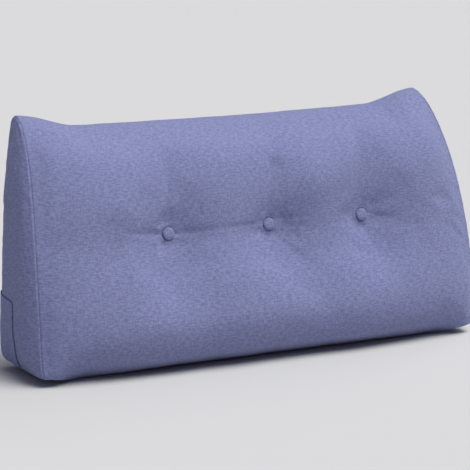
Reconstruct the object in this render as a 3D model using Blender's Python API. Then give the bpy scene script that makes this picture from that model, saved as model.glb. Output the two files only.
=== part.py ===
"""Triangular back cushion: one filled, button-tufted wedge that stands on its narrow flat base.

X runs along the cushion, +Y points to its flat back and +Z is up. The filled body is a box lattice
whose points are laid on the sewn outline. The covered buttons sit in the tufts of the front panel, and
the closure flap is a thin layer of cloth that wraps the foot of the back and both ends.
"""

import math

import bmesh
import bpy
from mathutils import Matrix, Vector

# Cut outline of the filled body, in metres
HALF_FOOT = 0.4985  # half the length at the base seam
HALF_BELLY = 0.4985  # half the length at its widest, BELLY_SHARE of the way up
HALF_TOP = 0.467  # half the length at the ridge, where the ends are drawn in
TOP_LEAN = -0.007  # how far the filling has pushed the ridge along the cushion
BELLY_SHARE = 0.45
HEIGHT = 0.5065  # up to the two top corners
FRONT_Y = -0.100  # front seam of the ends, at the base
BACK_Y = 0.100  # back seam of the ends
RIDGE_RADIUS = 0.0162  # roll of the narrow top into the back
BACK_ROLL = 0.018  # roll of the back into the base
FRONT_ROLL_END = 0.008  # roll of the front into the base, at the end seams
FRONT_ROLL_MIDDLE = 0.068  # the same roll away from them
ROLL_RUN = 0.095  # distance over which the end's section turns into the middle one
BULGE_LEFT = 1.88  # how round the front's section is: 1 is a straight slope, 2 is elliptic
BULGE_MIDDLE = 2.30
BULGE_RIGHT = 1.67

# The two top corners stand up as ears, and the ridge sags between them
EAR = 0.031
EAR_RUN = 0.130
EAR_POINT = 0.75  # how sharp they are: 0 is a round hump, 1 a straight rise to the corner
RIDGE_SAG = 0.008
RIDGE_SAG_RUN = 0.24

# The foot's corners are drawn up off the surface and inwards
FOOT_LIFT = 0.012
FOOT_LIFT_RUN = 0.10
FOOT_LIFT_RISE = 0.25  # height at which the lift has faded out
FOOT_TUCK = 0.012
FOOT_TUCK_RISE = 0.040

# Crown that the filling gives each panel
FRONT_CROWN = 0.020
TOP_CROWN = 0.008
BACK_CROWN = 0.004
BACK_CROWN_FOOT = 0.40  # share of the back's rise over which it swells, past the flap, to be flat
BACK_CROWN_HEAD = 0.17  # share over which it falls off again, under the ridge
END_CROWN = 0.017
CROWN_RUN = 0.08  # distance from the end seam at which a panel is fully crowned
FRONT_CROWN_RUN = 0.20
FRONT_CROWN_POWER = 1.5  # the front rises gently from its end seams
SHOULDER = 0.006  # its steeper rise right beside them
SHOULDER_RUN = 0.035
END_CROWN_RUN = 0.07
END_CROWN_HEAD = 0.15  # the same run below the top corners
CROWN_POWER = 0.7
TUFT_FADE = 0.75  # share of the front from which the tufts' pull fades out towards the ridge

# Tufts: a row of buttons pulled into the front panel
BUTTON_X = {"button_left": -0.2115, "button_middle": 0.0155, "button_right": 0.235}
BUTTON_HEIGHT = 0.276
TUFT_DEPTH = 0.038
TUFT_SEAT = 0.0225  # flat floor of a tuft, by radius
TUFT_RUN = 0.050
BUTTON_RADIUS = 0.013
BUTTON_FOOT = 0.0112  # radius of its flat underside
BUTTON_RIM = 0.0024
BUTTON_DOME = 0.0044
BUTTON_SIDES = 20
DOME_STEPS = 5
GAP = 0.0003  # between a button and the floor of its tuft

# Main folds of the front panel. A fold runs from START to END as (x, height) in metres. It is a valley
# whose walls reach LEFT and RIGHT of it, seen along its run, and its DEPTH goes from one end to the
# other. A negative depth is a ridge.
FOLDS = (
    # start, end, left, right, depth at start, depth at end
    ((-0.222, 0.290), (-0.198, 0.420), 0.018, 0.070, 0.023, 0.006),
    ((0.006, 0.290), (0.030, 0.390), 0.017, 0.080, 0.026, 0.010),
    ((0.036, 0.395), (0.046, 0.455), 0.020, 0.030, 0.006, 0.003),
    ((0.212, 0.290), (0.246, 0.425), 0.022, 0.085, 0.023, 0.009),
    ((-0.330, 0.291), (-0.010, 0.282), 0.050, 0.036, 0.004, 0.008),
    ((0.000, 0.282), (0.225, 0.280), 0.050, 0.036, 0.008, 0.007),
    ((0.225, 0.280), (0.340, 0.262), 0.046, 0.036, 0.007, 0.001),
    ((0.010, 0.268), (0.128, 0.150), 0.034, 0.024, 0.010, 0.002),
    ((-0.040, 0.242), (0.062, 0.112), 0.030, 0.030, -0.008, -0.004),
    ((0.228, 0.262), (0.305, 0.100), 0.036, 0.026, 0.009, 0.002),
    ((0.185, 0.245), (0.272, 0.120), 0.030, 0.030, -0.007, -0.004),
    ((-0.224, 0.262), (-0.212, 0.100), 0.036, 0.026, 0.008, 0.002),
    ((-0.300, 0.240), (-0.240, 0.130), 0.034, 0.034, -0.007, -0.004),
    ((-0.470, 0.276), (-0.330, 0.272), 0.038, 0.036, 0.003, 0.004),
)

# Lumps and hollows that the filling settles into, in the front panel
LUMPS = (
    # centre as (x, height), half-length, half-width, turn in degrees, rise
    ((0.035, 0.103), 0.499, 0.049, 0, 0.0169),
    ((0.062, 0.226), 0.402, 0.048, -2, -0.0162),
    ((-0.312, 0.093), 0.365, 0.084, -16, 0.0083),
    ((-0.050, 0.225), 0.090, 0.118, -96, 0.0080),
    ((0.199, 0.091), 0.091, 0.079, 67, 0.0055),
    ((-0.254, 0.188), 0.074, 0.042, -82, -0.0091),
    ((0.019, 0.186), 0.101, 0.038, -38, -0.0122),
    ((0.213, 0.206), 0.097, 0.027, -57, -0.0056),
    ((-0.134, 0.344), 0.157, 0.034, 48, 0.0070),
    ((0.091, 0.355), 0.078, 0.053, 22, 0.0152),
    ((0.327, 0.379), 0.095, 0.065, 32, 0.0134),
    ((-0.190, 0.237), 0.386, 0.046, 106, -0.0045),
    ((0.033, 0.298), 0.024, 0.067, 23, -0.0049),
    ((0.245, 0.309), 0.024, 0.034, 99, -0.0043),
    ((-0.404, 0.466), 0.039, 0.094, -15, -0.0107),
    ((0.432, 0.276), 0.033, 0.062, -3, -0.0066),
    ((-0.290, 0.314), 0.111, 0.043, -35, 0.0071),
    ((0.374, 0.272), 0.059, 0.025, -30, -0.0037),
)
LUMP_RUN = 0.09  # distance from the end seam at which they are full
LUMP_SHARE = 0.16  # the same above the front's roll and below the ridge, as a share of the front
LUMP_FOOT = 0.08  # share below which the roll has none
LUMP_CLEAR = 0.020  # distance from a tuft's floor over which they grow

# Closure flap, folded round the foot of the back
FLAP_HEIGHT = 0.148
FLAP_GAP = 0.0006
FLAP_CLOTH = 0.0020
FLAP_SHARE_FOOT = 0.56  # where its front edge crosses the end panel, from front seam to back seam
FLAP_SHARE_TOP = 0.74

# Lattice: how the panels are divided
ROLL_ROWS = 4
FLAP_ROW = 7
BUTTON_ROW = 14
ROWS = 26
BACK_ROLL_ROWS = 3
COLUMNS = 7
FLAP_COLUMN = 4
RIDGE_COLUMNS = 3
FLAP_FRONT_HEIGHT = 0.110  # the front panel's height on the flap's row
TOP_ROW_HEIGHT = 0.454
SEAT_HALF = 0.015  # the lattice has lines this far on each side of a button
SEAT_RISE = 0.0137  # the same, seen level on the leaning panel
END_DIVISIONS = 11
BAY_DIVISIONS = 9
END_CROWDING = 1.35  # divisions crowd towards the end seams
ROLL_SHARE = 0.22  # share of the front's parameter that its roll takes
STEP = 1e-3  # share of a panel between the two points that give a normal
MERGE = 1e-5

# Materials: colour, roughness
CLOTH = (0.196, 0.212, 0.408, 1.0)
CLOTH_SHADE = (0.180, 0.194, 0.384, 1.0)
CLOTH_ROUGHNESS = 0.92
SHARP_ANGLE = math.radians(35)


def clear_scene():
    for old in list(bpy.context.scene.objects):
        bpy.data.objects.remove(old, do_unlink=True)


def cloth_material(name, colour):
    material = bpy.data.materials.new(name)
    material.use_nodes = True
    shader = material.node_tree.nodes["Principled BSDF"]
    shader.inputs["Base Color"].default_value = colour
    shader.inputs["Roughness"].default_value = CLOTH_ROUGHNESS
    shader.inputs["Metallic"].default_value = 0.0
    return material


def ease(value):
    """0 to 1, flat at both ends."""
    value = min(max(value, 0.0), 1.0)
    return value * value * (3 - 2 * value)


def ease_straight(value, straight):
    """0 to 1, partly as a straight line."""
    value = min(max(value, 0.0), 1.0)
    return straight * value + (1 - straight) * ease(value)


def crown(distance, run, power=2.0):
    """Rise of a stuffed panel at a distance from its seam, 1 past the run."""
    return 1 - (1 - min(max(distance / run, 0.0), 1.0)) ** power


def spread(low, high, count):
    """Stations from low to high, without low."""
    return [low + (high - low) * step / count for step in range(1, count + 1)]


def half_length(height):
    """Half the cushion's length at a height: a parabola through foot, belly and top."""
    share = min(max(height / HEIGHT, 0.0), 1.0)
    foot = HALF_FOOT * (share - BELLY_SHARE) * (share - 1) / BELLY_SHARE
    belly = HALF_BELLY * share * (share - 1) / (BELLY_SHARE * (BELLY_SHARE - 1))
    top = HALF_TOP * share * (share - BELLY_SHARE) / (1 - BELLY_SHARE)
    tuck = FOOT_TUCK * max(1 - height / FOOT_TUCK_RISE, 0.0) ** 2
    return foot + belly + top - tuck


def ridge_height(distance):
    """Height of the ridge at a distance from the end seam: an ear at the corner, then a slow sag."""
    return (
        HEIGHT
        - EAR * ease_straight(distance / EAR_RUN, EAR_POINT)
        - RIDGE_SAG * (1 - math.exp(-distance / RIDGE_SAG_RUN))
    )


MIDDLE_HEIGHT = ridge_height(HALF_BELLY)


def front_angle(height):
    """Angle on the front's section, at mid-length, that lies at a height."""
    share = (height - FRONT_ROLL_MIDDLE) / (MIDDLE_HEIGHT - FRONT_ROLL_MIDDLE)
    return math.asin(share ** (BULGE_MIDDLE / 2))


TOP_ANGLE = front_angle(TOP_ROW_HEIGHT)


def front_share(height):
    """Parameter of the front panel, 0 at the base seam to 1 at the top row, for a height."""
    return ROLL_SHARE + (1 - ROLL_SHARE) * front_angle(height) / TOP_ANGLE


class Section:
    """The cushion's section at a place along its length: closed, in the Y-Z plane."""

    def __init__(self, place):
        self.distance = HALF_BELLY * (1 - abs(place))
        self.ridge = ridge_height(self.distance)
        self.inward = ease(self.distance / ROLL_RUN)
        end_bulge = BULGE_LEFT if place < 0 else BULGE_RIGHT
        self.bulge = end_bulge + (BULGE_MIDDLE - end_bulge) * self.inward
        self.roll = (
            FRONT_ROLL_END + (FRONT_ROLL_MIDDLE - FRONT_ROLL_END) * self.inward
        )

    def slope(self, angle):
        """Point on the bulging front, from the roll at angle 0 to the ridge at a right angle."""
        power = 2 / self.bulge
        ridge_y = BACK_Y - RIDGE_RADIUS
        reach = max(math.cos(angle), 0.0) ** power
        rise = math.sin(angle) ** power
        return (
            ridge_y - (ridge_y - FRONT_Y) * reach,
            self.roll + (self.ridge - self.roll) * rise,
        )

    def front(self, share):
        if share < ROLL_SHARE:
            turn = share / ROLL_SHARE * math.pi / 2
            return (
                FRONT_Y + self.roll * (1 - math.sin(turn)),
                self.roll * (1 - math.cos(turn)),
            )
        return self.slope((share - ROLL_SHARE) / (1 - ROLL_SHARE) * TOP_ANGLE)

    def top(self, share):
        split = 1 - RIDGE_COLUMNS / COLUMNS
        if share < split:
            return self.slope(TOP_ANGLE + (math.pi / 2 - TOP_ANGLE) * share / split)
        turn = (share - split) / (1 - split) * math.pi / 2
        return (
            BACK_Y - RIDGE_RADIUS * (1 - math.sin(turn)),
            self.ridge - RIDGE_RADIUS * (1 - math.cos(turn)),
        )

    def back(self, height):
        """Back panel at a share of its rise. Below 0 it is the roll, as a share of the turn."""
        if height < 0:
            turn = (1 + height) * math.pi / 2
            return (
                BACK_Y - BACK_ROLL * (1 - math.sin(turn)),
                BACK_ROLL * (1 - math.cos(turn)),
            )
        top = self.ridge - RIDGE_RADIUS
        return BACK_Y, BACK_ROLL + (top - BACK_ROLL) * height

    def base(self, share):
        start = FRONT_Y + self.roll
        return start + (BACK_Y - BACK_ROLL - start) * share, 0.0


def outward(outline, share, low, high, side):
    """Unit normal of an outline, turned to the given side of its run."""
    y0, z0 = outline(max(share - STEP, low))
    y1, z1 = outline(min(share + STEP, high))
    normal = Vector((0, z0 - z1, y1 - y0)) * side
    return normal.normalized()


def valley(fold, x, height):
    """Depth of one fold at a place on the front panel."""
    start, end, left, right, first, last = fold
    run = Vector((end[0] - start[0], end[1] - start[1]))
    offset = Vector((x - start[0], height - start[1]))
    along = offset.dot(run) / run.length_squared
    across = (offset.x * run.y - offset.y * run.x) / run.length
    reach = right if across > 0 else left
    past = max(-along, along - 1, 0.0) * run.length
    share = min(max(along, 0.0), 1.0)
    depth = first + (last - first) * share
    return depth * math.exp(-((across / reach) ** 2) - (past / min(left, right)) ** 2)


def lump(shape, x, height):
    """Rise of one lump of the filling at a place on the front panel."""
    centre, long, wide, turn, rise = shape
    cos, sin = math.cos(math.radians(turn)), math.sin(math.radians(turn))
    dx, dz = x - centre[0], height - centre[1]
    along, across = dx * cos + dz * sin, dz * cos - dx * sin
    return rise * math.exp(-((along / long) ** 2) - (across / wide) ** 2)


def front_swell(share):
    """Share of the front's crown: steep at the base and dying out gently towards the ridge."""
    low = math.sin(math.pi * min(share, 0.5)) ** CROWN_POWER
    return low * (1 - ease(max(2 * share - 1, 0.0) ** 2))


def lattice_places():
    """Stations along the cushion, from -1 at the left seam to 1 at the right one."""
    at_buttons = half_length(BUTTON_HEIGHT)
    lines = []
    for x in BUTTON_X.values():
        lines.extend(((x - SEAT_HALF) / at_buttons, (x + SEAT_HALF) / at_buttons))
    places = [
        -1 + (1 + lines[0]) * (step / END_DIVISIONS) ** END_CROWDING
        for step in range(END_DIVISIONS)
    ]
    places.append(lines[0])
    for index in range(1, len(lines)):
        inner = 2 if index % 2 else BAY_DIVISIONS
        places.extend(spread(lines[index - 1], lines[index], inner))
    places.extend(
        1 - (1 - lines[-1]) * (step / END_DIVISIONS) ** END_CROWDING
        for step in reversed(range(END_DIVISIONS))
    )
    return places


def front_stations():
    """The front panel's rows, from the base seam to the top row."""
    shares = [0.0] + spread(0.0, ROLL_SHARE, ROLL_ROWS)
    heights = spread(FRONT_ROLL_MIDDLE, FLAP_FRONT_HEIGHT, FLAP_ROW - ROLL_ROWS)
    low, high = BUTTON_HEIGHT - SEAT_RISE, BUTTON_HEIGHT + SEAT_RISE
    heights += spread(FLAP_FRONT_HEIGHT, low, BUTTON_ROW - 1 - FLAP_ROW)
    heights += [BUTTON_HEIGHT, high]
    heights += spread(high, TOP_ROW_HEIGHT, ROWS - 1 - BUTTON_ROW)
    return shares + [front_share(height) for height in heights]


def back_stations():
    """The back panel's rows: below 0 in its roll, then shares of its rise."""
    rise = MIDDLE_HEIGHT - RIDGE_RADIUS - BACK_ROLL
    flap_share = (FLAP_HEIGHT - BACK_ROLL) / rise
    rows = [-1.0] + spread(-1.0, 0.0, BACK_ROLL_ROWS)
    rows += spread(0.0, flap_share, FLAP_ROW - BACK_ROLL_ROWS)
    return rows + spread(flap_share, 1.0, ROWS - FLAP_ROW)


class Wedge:
    """The body's surface, as a function of a lattice point."""

    def __init__(self):
        self.places = lattice_places()
        self.sections = [Section(place) for place in self.places]
        self.front_rows = front_stations()
        self.back_rows = back_stations()
        self.tufts = [self.tuft(x) for x in BUTTON_X.values()]

    def lie(self, place, section, point, normal, rise):
        """Set a section's point out along its normal and place it along the cushion."""
        y = point[0] + normal.y * rise
        z = max(point[1] + normal.z * rise, 0.0)
        lift = FOOT_LIFT * (1 - ease(section.distance / FOOT_LIFT_RUN))
        z += lift * (1 - ease(z / FOOT_LIFT_RISE))
        return Vector((place * half_length(z) + TOP_LEAN * (z / HEIGHT) ** 3, y, z))

    def plain_front(self, place, share):
        """Crowned front panel before its tufts and folds, with its normal."""
        section = Section(place)
        normal = outward(section.front, share, 0.0, 1.0, 1)
        rise = FRONT_CROWN * front_swell(share)
        rise *= crown(section.distance, FRONT_CROWN_RUN, FRONT_CROWN_POWER)
        rise += SHOULDER * front_swell(share) * crown(section.distance, SHOULDER_RUN)
        rise += TOP_CROWN * ease(2 * share - 1) * crown(section.distance, CROWN_RUN)
        return self.lie(place, section, section.front(share), normal, rise), normal

    def tuft(self, x):
        """Centre of a tuft's flat floor, with its normal."""
        place = x / half_length(BUTTON_HEIGHT)
        point, normal = self.plain_front(place, front_share(BUTTON_HEIGHT))
        return point - normal * TUFT_DEPTH, normal

    def draw_in(self, i, point, normal, share):
        """Press folds and tufts into a point. Its share counts on past 1 over the narrow top."""
        inner = crown(self.sections[i].distance, CROWN_RUN)
        inner *= math.sin(math.pi * min(share, 0.5)) ** CROWN_POWER
        inner *= 1 - ease((share - 1) / (1 - RIDGE_COLUMNS / COLUMNS))
        depth = sum(valley(fold, point.x, point.z) for fold in FOLDS)
        point = point - normal * depth * inner
        reach = 1 - ease((share - TUFT_FADE) / (1 - TUFT_FADE))
        clear = 1.0
        for seat, lean in self.tufts:
            offset = point - seat
            above = offset.dot(lean)
            away = (offset - lean * above).length
            fall = max(away - TUFT_SEAT, 0.0) / TUFT_RUN
            point = point - lean * above * math.exp(-fall) * reach
            clear *= ease((away - TUFT_SEAT) / LUMP_CLEAR)
        lumps = clear * sum(lump(shape, point.x, point.z) for shape in LUMPS)
        lumps *= crown(self.sections[i].distance, LUMP_RUN)
        lumps *= ease((share - LUMP_FOOT) / LUMP_SHARE) * ease((1 - share) / LUMP_SHARE)
        point = point + normal * lumps
        point.z = max(point.z, 0.0)
        return point

    def front(self, i, j):
        share = self.front_rows[j]
        return self.draw_in(i, *self.plain_front(self.places[i], share), share)

    def back(self, i, j):
        section = self.sections[i]
        row = self.back_rows[j]
        normal = outward(section.back, row, -1.0, 1.0, -1)
        rise = BACK_CROWN * crown(section.distance, CROWN_RUN)
        rise *= ease(row / BACK_CROWN_FOOT) * ease((1 - row) / BACK_CROWN_HEAD)
        return self.lie(self.places[i], section, section.back(row), normal, rise)

    def top(self, i, k):
        section = self.sections[i]
        share = k / COLUMNS
        normal = outward(section.top, share, 0.0, 1.0, 1)
        rise = TOP_CROWN * (1 - ease(2 * share - 1)) * crown(section.distance, CROWN_RUN)
        point = self.lie(self.places[i], section, section.top(share), normal, rise)
        return self.draw_in(i, point, normal, 1 + share)

    def base(self, i, k):
        section = self.sections[i]
        point = section.base(self.column_share(0, k))
        return self.lie(self.places[i], section, point, Vector((0, 0, -1)), 0.0)

    def column_share(self, j, k):
        """Share of the way from front to back at which a column crosses a row."""
        turn = min(j / (FLAP_ROW - 2), 1.0)
        flap = FLAP_SHARE_FOOT + (FLAP_SHARE_TOP - FLAP_SHARE_FOOT) * math.sin(
            turn * math.pi / 2
        )
        if k <= FLAP_COLUMN:
            return flap * k / FLAP_COLUMN
        return flap + (1 - flap) * (k - FLAP_COLUMN) / (COLUMNS - FLAP_COLUMN)

    def end(self, i, j, k):
        """End panel: a patch spanned by its four seams, crowned outwards."""
        across = self.column_share(j, k)
        up = j / ROWS
        front, back = self.front(i, j), self.back(i, j)
        bottom, top = self.base(i, k), self.top(i, k)
        corners = (
            self.front(i, 0) * (1 - across) * (1 - up)
            + self.back(i, 0) * across * (1 - up)
            + self.front(i, ROWS) * (1 - across) * up
            + self.back(i, ROWS) * across * up
        )
        point = front * (1 - across) + back * across + bottom * (1 - up) + top * up
        point = point - corners
        width = (back - front).length
        rise = crown(min(across, 1 - across) * width, END_CROWN_RUN)
        rise *= crown(point.z - FOOT_LIFT, END_CROWN_RUN)
        rise *= crown(HEIGHT - point.z, END_CROWN_HEAD)
        side = -1 if i == 0 else 1
        return point + Vector((side * END_CROWN * rise, 0, 0))

    def point(self, i, j, k):
        if i in (0, len(self.places) - 1) and 0 < j < ROWS and 0 < k < COLUMNS:
            return self.end(i, j, k)
        if k == 0:
            return self.front(i, j)
        if k == COLUMNS:
            return self.back(i, j)
        return self.top(i, k) if j == ROWS else self.base(i, k)


def lattice_box(divisions):
    """A unit box cut into even cells, each vertex then read as a lattice point."""
    box = bmesh.new()
    bmesh.ops.create_cube(box, size=1.0, matrix=Matrix.Translation((0.5, 0.5, 0.5)))
    for axis, count in enumerate(divisions):
        normal = [0.0, 0.0, 0.0]
        normal[axis] = 1.0
        for step in range(1, count):
            cut = [0.0, 0.0, 0.0]
            cut[axis] = step / count
            bmesh.ops.bisect_plane(
                box,
                geom=box.verts[:] + box.edges[:] + box.faces[:],
                plane_co=cut,
                plane_no=normal,
            )
    return box


def finish(name, shape, material, parent):
    """Turn a bmesh into a named, smooth-shaded object."""
    mesh = bpy.data.meshes.new(name)
    shape.to_mesh(mesh)
    shape.free()
    mesh.shade_smooth()
    mesh.set_sharp_from_angle(angle=SHARP_ANGLE)
    mesh.materials.append(material)
    item = bpy.data.objects.new(name, mesh)
    item.parent = parent
    bpy.context.scene.collection.objects.link(item)
    return item


def shape_body(wedge):
    """The filled body's mesh, with each vertex's lattice point kept in integer layers."""
    divisions = (len(wedge.places) - 1, COLUMNS, ROWS)
    body = lattice_box(divisions)
    layers = [body.verts.layers.int.new(axis) for axis in ("i", "k", "j")]
    for vertex in body.verts:
        i, k, j = (round(c * n) for c, n in zip(vertex.co, divisions))
        for layer, value in zip(layers, (i, k, j)):
            vertex[layer] = value
        vertex.co = wedge.point(i, j, k)
    bmesh.ops.triangulate(body, faces=body.faces[:], quad_method="SHORT_EDGE")
    bmesh.ops.recalc_face_normals(body, faces=body.faces[:])
    return body


def shape_flap(body, last):
    """The closure flap: a thin layer over the body's own facets, round the back's foot."""
    i_layer, k_layer, j_layer = (body.verts.layers.int[axis] for axis in ("i", "k", "j"))

    def under_flap(face):
        corners = [(v[i_layer], v[j_layer], v[k_layer]) for v in face.verts]
        rows_fit = all(1 <= j <= FLAP_ROW for _, j, _ in corners)
        on_back = all(k == COLUMNS for _, _, k in corners)
        on_end = any(all(i == end for i, _, _ in corners) for end in (0, last))
        covers = all(k >= FLAP_COLUMN for _, _, k in corners)
        at_corner = any(j == FLAP_ROW and k == FLAP_COLUMN for _, j, k in corners)
        inner = any(j < FLAP_ROW and k > FLAP_COLUMN for _, j, k in corners)
        return rows_fit and (on_back or on_end and covers and (inner or not at_corner))

    flap = bmesh.new()
    body.normal_update()
    covered = [face for face in body.faces if under_flap(face)]
    inside, outside = {}, {}
    for vertex in {v for face in covered for v in face.verts}:
        step = vertex.normal * vertex.calc_shell_factor()
        inside[vertex] = flap.verts.new(vertex.co + step * FLAP_GAP)
        outside[vertex] = flap.verts.new(vertex.co + step * (FLAP_GAP + FLAP_CLOTH))
    for face in covered:
        flap.faces.new([outside[v] for v in face.verts])
        flap.faces.new([inside[v] for v in reversed(face.verts)])
    rim = [
        loop for face in covered for loop in face.loops
        if sum(near in covered for near in loop.edge.link_faces) == 1
    ]
    for loop in rim:
        first, second = loop.vert, loop.link_loop_next.vert
        flap.faces.new((outside[second], outside[first], inside[first], inside[second]))
    bmesh.ops.triangulate(flap, faces=flap.faces[:])
    bmesh.ops.recalc_face_normals(flap, faces=flap.faces[:])
    return flap


def shape_button():
    """A covered button: flat underneath, a short rim and a round dome, turned about +Z."""
    shape = bmesh.new()
    profile = [Vector((0, 0, 0)), Vector((BUTTON_FOOT, 0, 0))]
    for step in range(DOME_STEPS + 1):
        turn = step / DOME_STEPS * math.pi / 2
        profile.append(
            Vector((
                BUTTON_RADIUS * math.cos(turn),
                0,
                BUTTON_RIM + BUTTON_DOME * math.sin(turn),
            ))
        )
    verts = [shape.verts.new(point) for point in profile]
    edges = [shape.edges.new(pair) for pair in zip(verts, verts[1:])]
    bmesh.ops.spin(
        shape, geom=verts + edges, axis=(0, 0, 1), cent=(0, 0, 0),
        angle=2 * math.pi, steps=BUTTON_SIDES, use_merge=True,
    )
    bmesh.ops.remove_doubles(shape, verts=shape.verts[:], dist=MERGE)
    bmesh.ops.recalc_face_normals(shape, faces=shape.faces[:])
    return shape


def build():
    clear_scene()
    origin = bpy.data.objects.new("cushion_origin", None)
    bpy.context.scene.collection.objects.link(origin)
    wedge = Wedge()
    body = shape_body(wedge)
    flap = shape_flap(body, len(wedge.places) - 1)
    pieces = [
        finish("cushion_body", body, cloth_material("body cloth", CLOTH), origin),
        finish("closure_flap", flap, cloth_material("flap cloth", CLOTH_SHADE), origin),
    ]
    for (name, _), (seat, lean) in zip(BUTTON_X.items(), wedge.tufts):
        material = cloth_material(name + " cloth", CLOTH)
        button = finish(name, shape_button(), material, origin)
        button.location = seat + lean * GAP
        button.rotation_euler = lean.to_track_quat("Z", "Y").to_euler()
    corners = [v.co for piece in pieces for v in piece.data.vertices]
    middle = [
        (min(c[axis] for c in corners) + max(c[axis] for c in corners)) / 2
        for axis in range(2)
    ]
    origin.location = (-middle[0], -middle[1], 0.0)


build()
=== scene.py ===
"""Dresses a button-tufted wedge back cushion, laid out as a Blender add-on.

The cover is a box lattice laid on the sewn outline, filled out by a cloth simulation, and then given its
seams, creases and puckers. Covered buttons, the closure flap and a plain studio complete it.
"""

import math

import bpy
import numpy as np
from bpy.props import FloatProperty, FloatVectorProperty, IntProperty, PointerProperty
from mathutils import Matrix, Vector, kdtree, noise


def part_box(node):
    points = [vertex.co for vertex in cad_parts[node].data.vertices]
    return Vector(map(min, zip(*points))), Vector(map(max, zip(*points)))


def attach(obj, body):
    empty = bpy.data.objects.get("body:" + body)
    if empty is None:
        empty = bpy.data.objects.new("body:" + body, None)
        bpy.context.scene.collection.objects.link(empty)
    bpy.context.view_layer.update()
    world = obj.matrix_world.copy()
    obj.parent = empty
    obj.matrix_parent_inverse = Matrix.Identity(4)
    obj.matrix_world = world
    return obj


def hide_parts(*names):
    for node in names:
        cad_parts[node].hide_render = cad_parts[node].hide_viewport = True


bl_info = {
    "name": "Wedge back cushion",
    "version": (1, 0, 0),
    "blender": (4, 5, 0),
    "location": "3D View > Sidebar > Cushion",
    "description": "Cover, buttons, closure flap and studio of a tufted wedge cushion",
    "category": "Object",
}

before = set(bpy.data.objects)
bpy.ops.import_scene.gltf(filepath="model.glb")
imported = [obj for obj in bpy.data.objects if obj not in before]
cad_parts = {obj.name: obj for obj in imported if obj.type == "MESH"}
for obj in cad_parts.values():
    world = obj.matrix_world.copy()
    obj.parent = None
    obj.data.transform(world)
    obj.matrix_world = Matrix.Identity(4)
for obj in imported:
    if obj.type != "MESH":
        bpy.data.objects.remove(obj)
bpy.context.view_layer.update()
BODY_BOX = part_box("cushion_body")

# Cut outline of the cover, in metres
BACK_CROWN = 0.004
BACK_Y = BODY_BOX[1].y - BACK_CROWN
FOOT_DEPTH = 0.200
FRONT_Y = BACK_Y - FOOT_DEPTH
HALF_FOOT = 0.4985  # half the length at the base seam
HALF_BELLY = 0.4985  # half the length at its widest, BELLY_SHARE of the way up
HALF_TOP = 0.467
TOP_LEAN = -0.007  # how far the top stands off to one side
BACK_INSET = 0.005  # how far the end panels lean in towards the back seam, rising from the foot
BACK_INSET_RUN = 0.10
BACK_INSET_RISE = 0.18
BACK_INSET_BELLY = 0.28  # from this height it falls off, over the next length
BACK_INSET_FALL = 0.12
BACK_INSET_AT_TOP = 0.65  # share of it that is left at the top
BELLY_SHARE = 0.45
HEIGHT = 0.5065
RIDGE_RADIUS = 0.0162
BACK_ROLL = 0.018
FRONT_ROLL_END = 0.008
FRONT_ROLL_MIDDLE = 0.068
ROLL_RUN = 0.095
ROLL_SHARE = 0.22  # share of the front's parameter that its roll takes
BULGE_LEFT = 1.88  # how round the front's section is: 1 is a straight slope, 2 is elliptic
BULGE_MIDDLE = 2.30
BULGE_RIGHT = 1.67
TOP_ROW_HEIGHT = 0.454
TOP_SPLIT = 4 / 7  # share of the narrow top before it rolls into the back

# Ears at the two top corners, and the drawn-up corners of the foot
EAR = 0.031
EAR_RUN = 0.130
EAR_POINT = 0.75  # how sharp they are: 0 is a round hump, 1 a straight rise to the corner
RIDGE_SAG = 0.008
RIDGE_SAG_RUN = 0.24
FOOT_LIFT = 0.012
FOOT_LIFT_RUN = 0.10
FOOT_LIFT_RISE = 0.25
CORNER_LIFT = 0.005  # how much higher the seams pull the foot's corners themselves
CORNER_LIFT_RUN = 0.022
CORNER_LIFT_RISE = 0.06
FOOT_TUCK = 0.012
FOOT_TUCK_RISE = 0.040

# Crown that the filling gives each panel. A RUN is the distance from a seam to the full crown.
FRONT_CROWN = 0.020
FRONT_CROWN_RUN = 0.20
FRONT_CROWN_POWER = 1.5
SHOULDER = 0.006
SHOULDER_RUN = 0.035
TOP_CROWN = 0.008
BACK_CROWN_FOOT = 0.40  # shares of the back's rise over which its crown sets in and dies out
BACK_CROWN_HEAD = 0.17
END_CROWN = 0.017
END_CROWN_RUN = 0.07
END_CROWN_HEAD = 0.15
END_SHOULDER_LEFT = 0.008  # more crown close to the front seam, where the filling is tightest
END_SHOULDER_RIGHT = 0.002
END_SHOULDER_RUN = 0.048
END_SHOULDER_SHARE = 0.6  # share of the panel's depth over which it dies out
CROWN_RUN = 0.08
CROWN_POWER = 0.7

# Tufts of the front panel
BUTTON_X = {"button_left": -0.2115, "button_middle": 0.0155, "button_right": 0.235}
BUTTON_HEIGHT = 0.276
TUFT_DEPTH = 0.038
TUFT_SEAT = 0.0225
TUFT_RUN = 0.050
TUFT_REACH = 0.75  # share of the front's rise up to which a tuft draws in fully

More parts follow.
